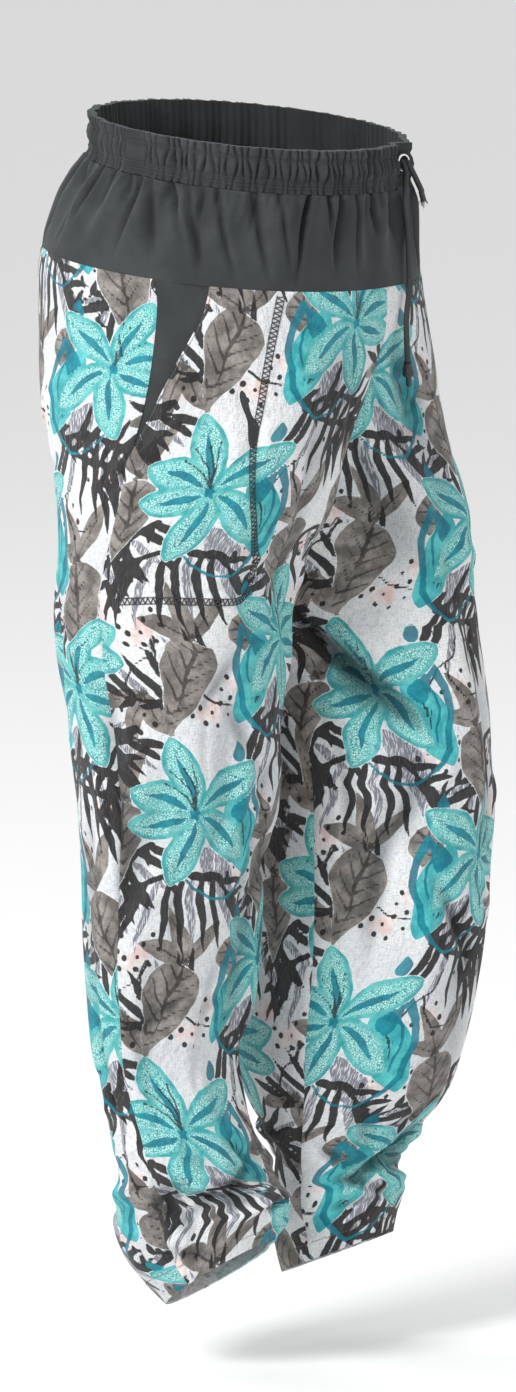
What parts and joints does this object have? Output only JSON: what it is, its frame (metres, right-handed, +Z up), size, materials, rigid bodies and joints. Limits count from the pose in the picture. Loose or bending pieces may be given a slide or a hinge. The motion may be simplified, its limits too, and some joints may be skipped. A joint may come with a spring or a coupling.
{
  "type": "pyjama trousers",
  "caption": "Worn full-length pyjama trousers with a gathered drawstring waistband, plain hip yoke, slanted pockets and printed legs.",
  "frame": {"origin": "centre of the waistband, where the wearer holds the trousers up", "axes": "+Z up the body, -Y the way the wearer faces, +X to the wearer's left"},
  "size_m": [0.399, 0.325, 0.9794],
  "materials": {
    "black_cotton": "matte woven cotton",
    "printed_cotton": "matte woven cotton, printed with flowers and leaves",
    "metal": "bright nickel plate",
    "cord": "matte braid",
    "black_plastic": "satin"
  },
  "bodies": {
    "root": {"waistband": "black_cotton", "front_yoke": "black_cotton", "back_yoke": "black_cotton", "front_leg_right": "printed_cotton", "back_leg_right": "printed_cotton", "front_leg_left": "printed_cotton", "back_leg_left": "printed_cotton", "pocket_backing_right": "black_cotton", "pocket_backing_left": "black_cotton", "eyelet": "metal", "drawstring_long": "cord", "drawstring_short": "cord", "cord_stopper": "black_plastic", "cord_tip": "black_plastic"}
  },
  "joints": []
}
